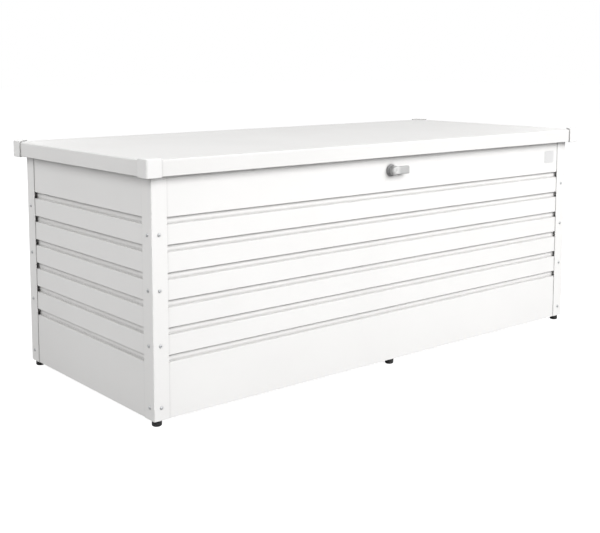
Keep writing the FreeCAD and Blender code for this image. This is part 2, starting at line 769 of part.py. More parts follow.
def lid_cap(label, corner, degrees):
    """A moulded corner cap: two walls round the lid's corner, a foot under its band and a top gusset."""
    owner = body(label)
    leg, wall, foot_width = s.cap_leg, s.cap_wall, s.cap_wall + s.lid_hem

    def angle(flat, wide):
        draw_polygon(flat, [(0, 0), (leg, 0), (leg, wide), (wide, wide), (wide, leg), (0, leg)])

    outline = sketch(owner, label + "_outline", "XY_Plane")
    angle(outline, wall)
    pad(owner, label + "_walls", outline, s.cap_height)
    underside = sketch(owner, label + "_underside", "XY_Plane")
    angle(underside, foot_width)
    pad(owner, label + "_foot", underside, band_bottom - cap_bottom)
    gusset = sketch(owner, label + "_gusset", "XY_Plane", lid_top - cap_bottom)
    draw_polygon(gusset, [(0, 0), (leg, 0), (leg, wall), (wall, leg), (0, leg)])
    pad(owner, label + "_top", gusset, s.cap_rise)
    round_edges(owner, label + "_corner", on_corner, s.cap_round)
    place(owner, corner, z_turn(degrees))
    return node(label, owner)


cap_x, cap_y = half_length + s.cap_overhang, half_width + s.cap_overhang
lid_cap("lid_cap_front_left", (-cap_x, -cap_y, cap_bottom), 0)
lid_cap("lid_cap_front_right", (cap_x, -cap_y, cap_bottom), 90)
lid_cap("lid_cap_back_right", (cap_x, cap_y, cap_bottom), 180)
lid_cap("lid_cap_back_left", (-cap_x, cap_y, cap_bottom), 270)


def lid_rib(name, spot):
    """A channel under the lid, its open side against the lid sheet."""
    half, wall, low = s.rib_width / 2, s.lid_wall, lid_under - s.rib_height
    middle = spot * (half_length - s.rib_inset)
    front, back = s.rib_front_inset - half_width, half_width - s.rib_back_inset
    outer = box(name + "_outer", (middle - half, front, low), (middle + half, back, lid_under))
    inner = box(name + "_inner", (middle - half + wall, front + wall, low + wall),
                (middle + half - wall, back - wall, lid_under + wall))
    return cut(name, outer, [inner])


node("lid_ribs", group("lid_rib_group", [lid_rib("lid_rib_" + name, spot) for name, spot in PLACES]))


# Hinges

pin_bore = s.hinge_pin_radius + s.running_gap


def hinge_wall_leaf(label, middle):
    """The leaf on the back wall: a plate with two arms that end in the outer knuckles."""
    y, z, half = hinge_y, hinge_z, s.hinge_leaf_half
    arm_low, arm_high = z - s.hinge_arm, z + s.hinge_arm
    plate_low = (middle - half, wall_front, wall_leaf_low)
    plate_high = (middle + half, wall_front + s.hinge_leaf_wall, wall_leaf_high)
    pieces = [box(label + "_plate", plate_low, plate_high)]
    holes = [rod(label + "_bore", "X", (middle - 2 * half, y, z), pin_bore, 4 * half)]
    for side_name, side in SIDES:
        near, far = middle + side * (s.knuckle_half + s.fit_gap), middle + side * half
        pieces.append(box(label + "_arm_" + side_name, (near, wall_front, arm_low), (far, y, arm_high)))
        low = near if side > 0 else far
        length = half - s.knuckle_half - s.fit_gap
        pieces.append(rod(label + "_knuckle_" + side_name, "X", (low, y, z), s.knuckle_radius, length))
        start = (middle + side * s.rivet_inset, wall_front - s.hinge_leaf_wall, rivet_level)
        holes.append(rod(label + "_rivet_hole_" + side_name, "Y", start, rivet_hole, 3 * s.hinge_leaf_wall))
    return node(label, cut(label + "_leaf", fuse(label + "_blank", pieces), holes))


def hinge_lid_leaf(label, middle):
    """The leaf on the lid: a plate inside the back band with one arm and the middle knuckle."""
    y, z, half = hinge_y, hinge_z, s.hinge_leaf_half
    band = room_y
    low = band_bottom + s.lid_wall + 2 * s.loose_gap
    plate_low = (middle - half, band - s.hinge_leaf_wall, low)
    plate = box(label + "_plate", plate_low, (middle + half, band, s.total_height - s.lid_leaf_drop))
    left, right = middle - s.knuckle_half, middle + s.knuckle_half
    arm = box(label + "_arm", (left, y, low), (right, band, z + s.hinge_arm))
    knuckle = rod(label + "_knuckle", "X", (left, y, z), s.knuckle_radius, right - left)
    bore = rod(label + "_bore", "X", (middle - half, y, z), pin_bore, 2 * half)
    return node(label, cut(label + "_leaf", fuse(label + "_blank", [plate, arm, knuckle]), [bore]))


def hinge_pin(name, middle):
    """A pin with a flat head at each end."""
    reach = s.hinge_leaf_half + s.fit_gap
    start = (middle - reach, hinge_y, hinge_z)
    pieces = [rod(name + "_shank", "X", start, s.hinge_pin_radius, 2 * reach)]
    for side_name, low in (("left", middle - reach - s.pin_head_length), ("right", middle + reach)):
        pieces.append(rod(name + "_head_" + side_name, "X", (low, hinge_y, hinge_z),
                          s.pin_head_radius, s.pin_head_length))
    return fuse(name, pieces)


def hinge_rivet(name, x):
    """A rivet through the wall leaf and the back wall, with a head on each side."""
    z, rise, wide, narrow = rivet_level, s.rivet_head_rise, s.rivet_head, s.rivet_radius
    inside, outside = inner_front, wall_front + s.hinge_leaf_wall
    shank = rod(name + "_shank", "Y", (x, inside, z), narrow, outside - inside)
    outer_head = cone(name + "_outer", "Y", (x, outside, z), wide, narrow, rise)
    inner_head = cone(name + "_inner", "Y", (x, inside - rise, z), narrow, wide, rise)
    return fuse(name, [shank, outer_head, inner_head])


pins = []
for place_name, spot in PLACES:
    middle = spot * hinge_reach
    hinge_wall_leaf("hinge_wall_leaf_" + place_name, middle)
    hinge_lid_leaf("hinge_lid_leaf_" + place_name, middle)
    pins.append(hinge_pin("hinge_pin_" + place_name, middle))
node("hinge_pins", group("hinge_pin_group", pins))
rivets = [hinge_rivet("rivet_%d" % number, x) for number, x in enumerate(rivet_spots)]
node("hinge_rivets", group("hinge_rivet_group", rivets))


# Gas struts and their brackets

lid_end_y = hinge_y - s.strut_lid_arm
run_y = lid_end_y.value - strut_wall_y.value
run_z = strut_lid_z.value - strut_wall_z.value
lid_turn = math.radians(s.lid_opening.value)
lid_rise = strut_lid_z.value - hinge_z.value
open_y = hinge_y.value - s.strut_lid_arm.value * math.cos(lid_turn) + lid_rise * math.sin(lid_turn)
open_z = hinge_z.value + s.strut_lid_arm.value * math.sin(lid_turn) + lid_rise * math.cos(lid_turn)
open_length = math.hypot(open_y - strut_wall_y.value, open_z - strut_wall_z.value)
run_texts = ((lid_end_y - strut_wall_y).text, (strut_lid_z - strut_wall_z).text)
closed_length = Size(math.hypot(run_y, run_z), "sqrt((%s)^2 + (%s)^2)" % run_texts)
strut_stroke = size(open_length - closed_length.value)
strut_lean = FreeCAD.Rotation(FreeCAD.Vector(1, 0, 0), -math.degrees(math.atan2(run_y, run_z)))
rod_bore = s.strut_rod_radius + s.running_gap
tube_end = s.strut_tube_start + s.strut_tube_length
gland_start = tube_end - s.strut_gland
piston_top = gland_start - strut_stroke - s.strut_end_play
stud_reach = s.bracket_wall + s.loose_gap


def strut_cylinder(label, side):
    """The tube of a gas strut, upright from its lower eye and then leant to its place."""
    half = s.eye_width / 2
    eye = rod(label + "_eye", "X", (-half, 0, 0), s.eye_radius, s.eye_width)
    neck = rod(label + "_neck", "Z", (0, 0, 0), s.strut_rod_radius, s.strut_tube_start + s.strut_tube_wall)
    tube = rod(label + "_tube", "Z", (0, 0, s.strut_tube_start), s.strut_tube_radius, s.strut_tube_length)
    bore = rod(label + "_stud_bore", "X", (-half - 1, 0, 0), s.stud_radius + s.running_gap, s.eye_width + 2)
    inside_start = s.strut_tube_start + s.strut_tube_wall * 2
    inside = rod(label + "_inside", "Z", (0, 0, inside_start), s.strut_tube_radius - s.strut_tube_wall,
                 gland_start - inside_start)
    mouth = rod(label + "_mouth", "Z", (0, 0, gland_start - 1), rod_bore, s.strut_gland + 2)
    made = cut(label + "_cylinder", fuse(label + "_blank", [eye, neck, tube]), [bore, inside, mouth])
    place(made, (side * strut_x, strut_wall_y, strut_wall_z), strut_lean)
    return node(label, made)


def strut_rod(label, side):
    """The rod of a gas strut with its piston, and at the top the eye and stud that meet the lid's bracket."""
    half = s.eye_width / 2
    low = piston_top - s.strut_piston
    piston_radius = s.strut_tube_radius - s.strut_tube_wall - s.running_gap
    shaft = rod(label + "_shaft", "Z", (0, 0, low), s.strut_rod_radius, closed_length - low)
    piston = rod(label + "_piston", "Z", (0, 0, low), piston_radius, s.strut_piston)
    eye = rod(label + "_eye", "X", (-half, 0, closed_length), s.eye_radius, s.eye_width)
    start = -half if side > 0 else -(half + stud_reach)
    stud = rod(label + "_stud", "X", (start, 0, closed_length), s.stud_radius, s.eye_width + stud_reach)
    made = fuse(label + "_rod", [shaft, piston, eye, stud])
    place(made, (side * strut_x, strut_wall_y, strut_wall_z), strut_lean)
    return node(label, made)


def wall_bracket(label, side):
    """The bracket on the side wall, between two grooves, with the stud for the strut's lower eye."""
    y, z = strut_wall_y, strut_wall_z
    plate_inner = inner_side - s.bracket_wall
    eye_outer = strut_x + s.eye_width / 2 + s.fit_gap
    eye_inner = strut_x - s.eye_width / 2 - s.fit_gap
    plate = box(label + "_plate", (side * inner_side, y - s.bracket_half, z - s.bracket_half),
                (side * plate_inner, y + s.bracket_half, z + s.bracket_half))

    def stretch(name, near, far, radius):
        return rod(label + name, "X", (near if side > 0 else -far, y, z), radius, far - near)

    collar = stretch("_collar", eye_outer, inner_side, s.stud_collar)
    stud = stretch("_stud", eye_inner - s.bracket_wall / 2, inner_side, s.stud_radius)
    head = stretch("_head", eye_inner - s.bracket_wall / 2, eye_inner, s.stud_collar)
    return node(label, fuse(label + "_bracket", [plate, collar, stud, head]))


def lid_bracket(label, side):
    """The bracket under the lid: a foot and an ear that hangs beside the strut's upper eye."""
    y, z = lid_end_y, strut_lid_z
    near = strut_x + s.eye_width / 2 + stud_reach + s.fit_gap
    far = near + s.bracket_wall
    ear_low = (side * near, y - s.ear_half, z - s.ear_drop)
    ear = box(label + "_ear", ear_low, (side * far, y + s.ear_half, lid_under))
    foot_low = (side * (far - 2 * s.ear_half), y - s.bracket_half, lid_under - s.bracket_wall)
    plate = box(label + "_foot", foot_low, (side * far, y + s.bracket_half, lid_under))
    return node(label, fuse(label + "_bracket", [ear, plate]))


for side_name, side in SIDES:
    strut_cylinder("strut_cylinder_" + side_name, side)
    strut_rod("strut_rod_" + side_name, side)
    wall_bracket("strut_wall_bracket_" + side_name, side)
    lid_bracket("strut_lid_bracket_" + side_name, side)


# Lock: collar, handle, key barrel, spindle, case, cam, rods, guides and keepers

handle_face = -(wall_front + s.handle_reach)
rosette_face = -(wall_front + s.rosette_height)
handle_back = rosette_face - s.fit_gap
rod_y = s.rod_plane - wall_front
yoke_front = rod_y - s.yoke_wall / 2
yoke_back = rod_y + s.yoke_wall / 2
cam_front = yoke_back + s.cam_gap
cam_back = cam_front + s.cam_wall
spindle_bore = s.spindle_radius + s.running_gap
quarter = math.sqrt(0.5)
pin_side = s.cam_pin_arm * quarter
rod_offset = (s.cam_pin_arm + pin_side) / 2


def on_lock_axis(name, low, high, radius):
    """A cylinder along the lock axis between two distances."""
    return rod(name, "Y", (s.lock_x, low, lock_z), radius, high - low)


rosette = on_lock_axis("rosette_disc", rosette_face, -wall_front, s.rosette_radius)
rosette_hole = on_lock_axis("rosette_hole", handle_face, rod_y, spindle_bore)
node("lock_rosette", cut("rosette", rosette, [rosette_hole]))

handle = body("lock_handle")
hub_plan = sketch(handle, "hub_plan", "XZ_Plane")
draw_circle(hub_plan, 0, 0, s.hub_radius)
hub_length = handle_back - handle_face
pad(handle, "hub", hub_plan, hub_length)
wing_plan = sketch(handle, "wing_plan", "XZ_Plane", hub_length - s.wing_wall)
end, root, tip = s.wing_reach, s.wing_root, s.wing_tip
draw_polygon(wing_plan, [(0, -root), (end, -tip), (end, tip), (0, root)])
pad(handle, "wing", wing_plan, s.wing_wall)


def on_wing_corner(edge):
    """True for the two short edges at the end of the grip."""
    return at(edge_box(edge)[0][0], s.wing_reach) and at(edge.Length, s.wing_wall)


def on_handle_face(edge):
    """True for the outline of the front face."""
    return at(edge_box(edge)[1][1], -hub_length)


round_edges(handle, "wing_tip_rounding", on_wing_corner, s.wing_round)
round_edges(handle, "face_rounding", on_handle_face, s.hub_round)
plug_hole = sketch(handle, "plug_hole", "XZ_Plane", hub_length)
draw_circle(plug_hole, 0, 0, s.plug_radius + s.running_gap)
pocket(handle, "plug_bore", plug_hole, s.plug_length)
socket = sketch(handle, "socket", "XZ_Plane")
draw_circle(socket, 0, 0, spindle_bore)
pocket(handle, "spindle_socket", socket, s.spindle_socket, back=True)
place(handle, (s.lock_x, handle_back, lock_z))
node("lock_handle", handle)

plug_front = handle_face - s.plug_rise
plug_back = handle_face + s.plug_length - s.fit_gap
barrel = on_lock_axis("key_barrel", plug_front, plug_back, s.plug_radius)
slot_x, slot_z = s.key_slot_width / 2, s.key_slot_height / 2
key_slot = box("key_slot", (s.lock_x - slot_x, plug_front - s.key_slot_depth, lock_z - slot_z),
               (s.lock_x + slot_x, plug_front + s.key_slot_depth, lock_z + slot_z))
node("lock_plug", cut("lock_plug_cut", barrel, [key_slot]))

spindle_front = handle_back - s.spindle_socket + s.fit_gap
node("lock_spindle", on_lock_axis("spindle", spindle_front, cam_back + s.spindle_end, s.spindle_radius))

case_back = yoke_front - s.case_gap
wall_inside = -inner_front


def about_lock(name, half_long, half_high, front, back):
    """A block that is centred on the lock axis."""
    return box(name, (s.lock_x - half_long, front, lock_z - half_high),
               (s.lock_x + half_long, back, lock_z + half_high))


case_outer = about_lock("case_outer", s.case_half_length, s.case_half_height, wall_inside, case_back)
case_room = about_lock("case_room", s.case_half_length - s.case_wall, s.case_half_height - s.case_wall,
                       wall_inside - s.case_wall, case_back - s.case_wall)
case_hole = on_lock_axis("case_hole", wall_inside, cam_front, spindle_bore)
node("lock_case", cut("lock_case_cut", case_outer, [case_room, case_hole]))

pin_front = yoke_front - s.loose_gap
cam_radius = s.cam_pin_arm + s.cam_pin_radius + s.cam_rim
cam_pieces = [on_lock_axis("cam_disc", cam_front, cam_back, cam_radius)]
for side_name, side in SIDES:
    start = (s.lock_x - side * pin_side, pin_front, lock_z + side * pin_side)
    cam_pieces.append(rod("cam_pin_" + side_name, "Y", start, s.cam_pin_radius, cam_back - pin_front))
cam_hole = on_lock_axis("cam_hole", yoke_front, cam_back + s.cam_wall, spindle_bore)
node("lock_cam", cut("lock_cam_cut", fuse("cam_blank", cam_pieces), [cam_hole]))


def locking_rod(label, side):
    """A round rod along the front wall whose slotted end rides on a cam pin."""
    pin_x = s.lock_x - side * pin_side
    rod_z = lock_z + side * rod_offset
    slot_half = s.cam_pin_radius + s.cam_pin_play
    slot_low = lock_z + side * (pin_side - s.cam_pin_radius - s.cam_pin_play)
    slot_high = lock_z + side * (s.cam_pin_arm + s.cam_pin_radius + s.cam_pin_play)
    yoke_half = slot_half + s.yoke_rim
    yoke_outer = pin_x + side * yoke_half
    yoke = box(label + "_yoke", (pin_x - side * yoke_half, yoke_front, slot_low - side * s.yoke_rim),
               (yoke_outer, yoke_back, slot_high + side * s.yoke_rim))
    slot = box(label + "_slot", (pin_x - side * slot_half, yoke_front - 1, slot_low),
               (pin_x + side * slot_half, yoke_back + 1, slot_high))
    inner, outer = yoke_outer - side * s.yoke_rim / 2, side * rod_reach
    low, high = (inner, outer) if side > 0 else (outer, inner)
    shaft = rod(label + "_shaft", "X", (low, rod_y, rod_z), s.rod_radius, high - low)
    return node(label, cut(label + "_rod", fuse(label + "_blank", [yoke, shaft]), [slot]))


def rod_guide(name, side, middle):
    """A block on the inside of the front wall with a bore for a locking rod."""
    rod_z = lock_z + side * rod_offset
    half = s.guide_length / 2
    block = box(name + "_block", (middle - half, wall_inside, rod_z - s.guide_half),
                (middle + half, rod_y + s.guide_back, rod_z + s.guide_half))
    bore = rod(name + "_bore", "X", (middle - 2 * half, rod_y, rod_z), s.rod_radius + s.running_gap, 4 * half)
    return cut(name, block, [bore])


def keeper(label, side):
    """A plate under the lid that a locking rod slides into, with its fixing foot."""
    rod_z = lock_z + side * rod_offset
    near = side * (rod_reach + s.keeper_gap)
    far = near + side * s.keeper_wall
    front, back = rod_y - s.keeper_half, rod_y + s.keeper_half
    plate = box(label + "_plate", (near, front, rod_z - s.keeper_drop), (far, back, lid_under))
    foot_plate = box(label + "_foot", (near, front, lid_under - s.keeper_wall),
                     (near + side * s.keeper_foot, back, lid_under))
    low = (near if side > 0 else far) - s.keeper_wall
    hole = rod(label + "_hole", "X", (low, rod_y, rod_z), s.keeper_hole, 3 * s.keeper_wall)
    return node(label, cut(label + "_keeper", fuse(label + "_blank", [plate, foot_plate]), [hole]))


guides = []
for side_name, side in SIDES:
    locking_rod("locking_rod_" + side_name, side)
    keeper("keeper_" + side_name, side)
    inner_spot, outer_spot = s.lock_x + side * s.guide_near, side * (rod_reach - s.guide_inset)
    guides.append(rod_guide("guide_%s_near" % side_name, side, inner_spot))
    guides.append(rod_guide("guide_%s_far" % side_name, side, outer_spot))
node("rod_guides", group("rod_guide_group", guides))


# Blank plate on the front wall

badge = body("badge_plate")
badge_plan = sketch(badge, "badge_plan", "XZ_Plane")
draw_rectangle(badge_plan, (0, 0), (s.badge_width, s.badge_height))
pad(badge, "badge_pad", badge_plan, s.badge_wall)
round_edges(badge, "badge_corners", lambda edge: abs(edge.Length - s.badge_wall.value) < 1e-4, s.badge_round)
badge_x = half_length - s.post_flange - s.badge_side_gap - s.badge_width
place(badge, (badge_x, -wall_front, s.total_height - s.badge_drop - s.badge_height / 2))
node("badge_plate", badge)


# Checks and files

doc.recompute()
for item in doc.Objects:
    if "Invalid" in item.State or "Error" in item.State:
        raise RuntimeError("%s did not compute: %s" % (item.Name, item.State))
for item in nodes:
    if item.Shape.isNull() or not item.Shape.isValid() or not item.Shape.Solids:
        raise RuntimeError("%s has no valid solid" % item.Label)
if len({item.Label for item in nodes}) != len(nodes):
    raise RuntimeError("two sub-parts share a name")

os.makedirs("parts", exist_ok=True)
for item in nodes:
    item.Shape.exportStep("parts/%s.step" % item.Label)
    reach = item.Shape.BoundBox
    print("%-26s %2d solids  x %8.1f %8.1f  y %7.1f %7.1f  z %6.1f %6.1f" % (
        item.Label, len(item.Shape.Solids),
        reach.XMin, reach.XMax, reach.YMin, reach.YMax, reach.ZMin, reach.ZMax))
print("sub-parts", len(nodes))
print("strut shut %.3f open %.3f lean %.4f degrees" % (
    closed_length.value, open_length, math.degrees(math.atan2(run_y, run_z))))
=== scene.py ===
# %% [markdown]
# A garden storage box in white sheet steel, modelled as a maker would look at it.
# The construction already exists: every sheet, screw and hinge comes packed as one fixed frame.
# This lesson dresses that frame. Where a folded sheet needs soft bends, a new surface is worked out
# and takes the place of the plain solid. Everything is in metres, with the ground at zero height.

# %% Load the frame
import math
import bpy
import numpy as np
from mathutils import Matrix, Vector


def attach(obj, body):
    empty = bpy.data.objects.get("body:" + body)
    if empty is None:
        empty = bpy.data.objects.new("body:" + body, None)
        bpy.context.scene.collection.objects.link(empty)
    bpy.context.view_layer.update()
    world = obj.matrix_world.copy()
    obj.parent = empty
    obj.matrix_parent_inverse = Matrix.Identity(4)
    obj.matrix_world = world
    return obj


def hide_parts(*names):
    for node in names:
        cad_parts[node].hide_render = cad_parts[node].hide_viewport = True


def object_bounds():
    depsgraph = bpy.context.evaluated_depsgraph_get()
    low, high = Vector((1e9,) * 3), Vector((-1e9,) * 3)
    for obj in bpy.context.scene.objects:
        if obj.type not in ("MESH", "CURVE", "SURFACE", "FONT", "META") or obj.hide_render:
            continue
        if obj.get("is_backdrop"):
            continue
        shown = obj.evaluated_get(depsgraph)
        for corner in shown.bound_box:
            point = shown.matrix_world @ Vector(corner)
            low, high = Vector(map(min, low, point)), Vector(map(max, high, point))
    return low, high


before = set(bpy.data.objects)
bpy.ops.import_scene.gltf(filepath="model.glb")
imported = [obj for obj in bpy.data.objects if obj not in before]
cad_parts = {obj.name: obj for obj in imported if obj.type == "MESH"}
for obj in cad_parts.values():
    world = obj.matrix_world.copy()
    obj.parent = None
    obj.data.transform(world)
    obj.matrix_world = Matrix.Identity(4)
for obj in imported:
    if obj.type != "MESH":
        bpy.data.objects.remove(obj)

cad_low, cad_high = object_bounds()
print("the box measures", [round(float(b - a), 3) for a, b in zip(cad_low, cad_high)], "m")

# %% [markdown]
# The camera stands at the front left of the box, a little above the lid. Its place, turn and lens
# were worked out from the edges, grooves, screws and feet that the photograph shows. A product
# photograph keeps upright edges nearly upright: the lens looks six degrees down, and a small shift
# does the rest. More shift would match a little better, but it would push the box out of other views.
# The shift is given as the row of the photograph that the axis of the lens meets.

# %% Camera
PHOTO = (600, 533)
EYE = Vector((-2.1955, -2.5456, 0.9556))
YAW, PITCH = 0.6935, 0.1044
FOCAL_PIXELS, AXIS_ROW = 1001.8, 165.0

camera_data = bpy.data.cameras.new("camera")
camera = bpy.data.objects.new("camera", camera_data)
bpy.context.scene.collection.objects.link(camera)
bpy.context.scene.camera = camera
forward = Vector((math.sin(YAW) * math.cos(PITCH), math.cos(YAW) * math.cos(PITCH), -math.sin(PITCH)))
camera.location = EYE
camera.rotation_euler = forward.to_track_quat("-Z", "Y").to_euler()
camera_data.lens = FOCAL_PIXELS / PHOTO[0] * camera_data.sensor_width
camera_data.shift_y = (AXIS_ROW - PHOTO[1] / 2) / PHOTO[0]
camera_data.clip_start, camera_data.clip_end = 0.05, 100
print("lens", round(camera_data.lens, 1), "mm, shift", round(camera_data.shift_y, 3))

# %% [markdown]
# Studio light on a white product is soft and comes mostly from the front, so the front wall reads
# nearly white, the lid a shade darker and the end wall darkest. Five large flat lamps do that: a wide
# one in front, a large one at the left, a very weak one above, and two faint ones at the right and
# behind so that the far sides aren't black. Large lamps were chosen because their shadows have soft
# edges. Each row of the table gives a place, a width, a height and a strength in watts.

# %% Lamps
LAMPS = [
    ("front_lamp", (1.0, -4.9, 3.05), 6.2, 3.5, 415),
    ("top_lamp", (0.2, 1.6, 4.6), 4.0, 3.0, 9),
    ("left_lamp", (-5.0, 0.2, 3.2), 5.0, 4.4, 190),
    ("right_lamp", (5.0, 0.8, 1.8), 4.0, 2.4, 50),
    ("back_lamp", (-0.8, 5.0, 2.0), 4.5, 2.6, 90),
]
MIDDLE = Vector((0, 0, 0.35))
for name, place, width, height, watts in LAMPS:
    data = bpy.data.lights.new(name, "AREA")
    data.shape, data.size, data.size_y, data.energy = "RECTANGLE", width, height, watts
    lamp = bpy.data.objects.new(name, data)
    bpy.context.scene.collection.objects.link(lamp)
    lamp.location = place
    lamp.visible_camera = False
    lamp.rotation_euler = (MIDDLE - Vector(place)).to_track_quat("-Z", "Y").to_euler()
print(len(LAMPS), "lamps")

# %% [markdown]
# The world adds an even, weak light from all round, as the white walls of a studio do. Rays that come
# straight from the camera, or off a shiny surface, see plain white instead. A Light Path node tells
# the two kinds of ray apart, so the backdrop can be white without flooding the box with light.

# %% World
WORLD = 0.2
world = bpy.data.worlds.new("studio")
bpy.context.scene.world = world
bpy.context.scene.view_settings.view_transform = "Standard"
world.use_nodes = True
nodes, links = world.node_tree.nodes, world.node_tree.links
nodes.clear()
path = nodes.new("ShaderNodeLightPath")
seen, shown = nodes.new("ShaderNodeMath"), nodes.new("ShaderNodeMath")
seen.operation = shown.operation = "MAXIMUM"
links.new(path.outputs["Is Camera Ray"], seen.inputs[0])
links.new(path.outputs["Is Glossy Ray"], seen.inputs[1])
links.new(seen.outputs[0], shown.inputs[0])
links.new(path.outputs["Is Transmission Ray"], shown.inputs[1])
plain, white = nodes.new("ShaderNodeBackground"), nodes.new("ShaderNodeBackground")
plain.inputs["Color"].default_value = (1, 1, 1, 1)
plain.inputs["Strength"].default_value = WORLD
white.inputs["Color"].default_value = (1, 1, 1, 1)
white.inputs["Strength"].default_value = 1.0
chosen, end = nodes.new("ShaderNodeMixShader"), nodes.new("ShaderNodeOutputWorld")
links.new(shown.outputs[0], chosen.inputs["Fac"])
links.new(plain.outputs[0], chosen.inputs[1])
links.new(white.outputs[0], chosen.inputs[2])
links.new(chosen.outputs[0], end.inputs["Surface"])
print("world strength", WORLD)

# %% [markdown]
# A floor is a wide pale matt sheet that catches the box's shadow. A matt sheet under this even light
# would look grey far away, where the lamps don't reach. So the camera, and only the camera, also sees
# a plain glow on it that makes up for what the even light lacks to white. The light that reaches the
# box isn't changed by that, and the shadow under the feet stays, as faint as in the photograph.

# %% Floor
REACH, FLOOR_SHADE, FULL_WHITE = 30, 0.3, 1.02
floor_mesh = bpy.data.meshes.new("studio_floor")
floor_corners = [(-REACH, -REACH, 0), (REACH, -REACH, 0), (REACH, REACH, 0), (-REACH, REACH, 0)]
floor_mesh.from_pydata(floor_corners, [], [(0, 1, 2, 3)])
floor = bpy.data.objects.new("studio_floor", floor_mesh)
bpy.context.scene.collection.objects.link(floor)
floor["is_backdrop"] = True

floor_paint = bpy.data.materials.new("floor_paint")
floor_paint.use_nodes = True
nodes, links = floor_paint.node_tree.nodes, floor_paint.node_tree.links
nodes.clear()
path = nodes.new("ShaderNodeLightPath")
matt, glow = nodes.new("ShaderNodeBsdfDiffuse"), nodes.new("ShaderNodeEmission")
matt.inputs["Color"].default_value = (FLOOR_SHADE, FLOOR_SHADE, FLOOR_SHADE, 1)
glow.inputs["Color"].default_value = (1, 1, 1, 1)
share = nodes.new("ShaderNodeMath")
share.operation = "MULTIPLY"
share.inputs[1].default_value = FULL_WHITE - FLOOR_SHADE * WORLD
total, end = nodes.new("ShaderNodeAddShader"), nodes.new("ShaderNodeOutputMaterial")
links.new(path.outputs["Is Camera Ray"], share.inputs[0])
links.new(share.outputs[0], glow.inputs["Strength"])
links.new(matt.outputs[0], total.inputs[0])
links.new(glow.outputs[0], total.inputs[1])
links.new(total.outputs[0], end.inputs["Surface"])
floor_mesh.materials.append(floor_paint)
print("floor", len(floor_mesh.polygons), "face")

# %% [markdown]
# Real paint and plastic are never one flat colour. Soft noise in the space of the piece makes them
# wander a little. Three small helpers serve every finish: noise, a ramp that spreads a value over a
# range, and a blend of two tones. Noise was chosen over drawn textures because it has no seams and
# stays sharp from close by.

# %% Noise, ramp and blend
def noise(nodes, links, place, scale, detail, stretch):
    """Soft noise in object space, its grain about 1/scale metres and stretched along the axes."""
    mapping = nodes.new("ShaderNodeMapping")
    mapping.inputs["Scale"].default_value = stretch
    links.new(place, mapping.inputs["Vector"])
    made = nodes.new("ShaderNodeTexNoise")
    made.inputs["Scale"].default_value = scale
    made.inputs["Detail"].default_value = detail
    links.new(mapping.outputs["Vector"], made.inputs["Vector"])
    return made.outputs["Fac"]


def ramp(nodes, links, value, start, end, low=0.0, high=1.0):
    """A value that goes from low to high while another goes from start to end, and is flat beyond."""
    made = nodes.new("ShaderNodeMapRange")
    made.inputs["From Min"].default_value = start
    made.inputs["From Max"].default_value = end
    made.inputs["To Min"].default_value = low
    made.inputs["To Max"].default_value = high
    links.new(value, made.inputs["Value"])
    return made.outputs["Result"]


def blend(nodes, links, factor, first, second):
    """A colour that goes from the first to the second as the factor goes from 0 to 1.

    Each of the two is a plain tone of three numbers, or comes from another node.
    """
    mix = nodes.new("ShaderNodeMix")
    mix.data_type = "RGBA"
    links.new(factor, mix.inputs["Factor"])
    for name, tone in (("A", first), ("B", second)):
        if isinstance(tone, tuple):
            mix.inputs[name].default_value = (*tone, 1)
        else:
            links.new(tone, mix.inputs[name])
    return mix.outputs["Result"]


print("three helpers for every finish")

# %% [markdown]
# Powder coat is paint that was baked from a dry powder. Close up it has a fine orange-peel skin, a soft
# sheen, and a colour that wanders by a hair. In grooves and corners the colour also turns towards grey where
# nearby walls close it in: that is painted shade, and it draws the thin grey lines along every groove. The
# skin could be modelled, but a bump is enough for something so fine. One helper builds each painted, plated
# or moulded finish from a few numbers: two tones, roughness, and the size and depth of the skin.

# %% One helper for the finishes
PATCH_DETAIL, SKIN_DETAIL = 4.0, 2.0
NOISE_LOW, NOISE_HIGH = 0.35, 0.65
UNEVEN = 0.05
# Painted shade: the grey that grooves and corners turn towards, how near the walls must be, and where the
# turn starts and ends.
CORNER_SHADE, CORNER_SHADE_REACH = (0.24, 0.237, 0.234), 0.010
CORNER_SHADE_FULL, CORNER_SHADE_NONE = 0.3, 0.97


def finish(name, first, second, rough, skin_scale, skin_depth, metal=0.0, stretch=(1, 1, 1), patch=3.0,
           coat=0.0, specular=0.5, shaded_corners=False):
    """A material whose colour drifts between two tones, with a bumped skin and uneven roughness.

    With shaded corners it also turns towards a grey of painted shade where walls within the reach close it
    in. Noise lies mostly between its low and high mark, so that part of it is spread over the whole range.
    """
    material = bpy.data.materials.new(name)
    material.use_nodes = True
    nodes, links = material.node_tree.nodes, material.node_tree.links
    shader = nodes["Principled BSDF"]
    place = nodes.new("ShaderNodeTexCoord").outputs["Object"]
    clouds = noise(nodes, links, place, patch, PATCH_DETAIL, stretch)
    drift = ramp(nodes, links, clouds, NOISE_LOW, NOISE_HIGH)
    colour = blend(nodes, links, drift, first, second)
    if shaded_corners:
        # Painted shade: ambient occlusion turns the colour towards grey in grooves and corners.
        corner = nodes.new("ShaderNodeAmbientOcclusion")
        corner.samples = 6
        corner.inputs["Distance"].default_value = CORNER_SHADE_REACH
        open_air = ramp(nodes, links, corner.outputs["AO"], CORNER_SHADE_FULL, CORNER_SHADE_NONE)
        colour = blend(nodes, links, open_air, CORNER_SHADE, colour)
    links.new(colour, shader.inputs["Base Color"])
    grain = noise(nodes, links, place, skin_scale, SKIN_DETAIL, stretch)
    sheen = ramp(nodes, links, grain, NOISE_LOW, NOISE_HIGH, rough - UNEVEN, rough + UNEVEN)
    links.new(sheen, shader.inputs["Roughness"])
    bump = nodes.new("ShaderNodeBump")
    bump.inputs["Strength"].default_value = 0.5
    bump.inputs["Distance"].default_value = skin_depth
    links.new(grain, bump.inputs["Height"])
    links.new(bump.outputs["Normal"], shader.inputs["Normal"])
    shader.inputs["Metallic"].default_value = metal
    shader.inputs["Coat Weight"].default_value = coat
    shader.inputs["Specular IOR Level"].default_value = specular
    return material


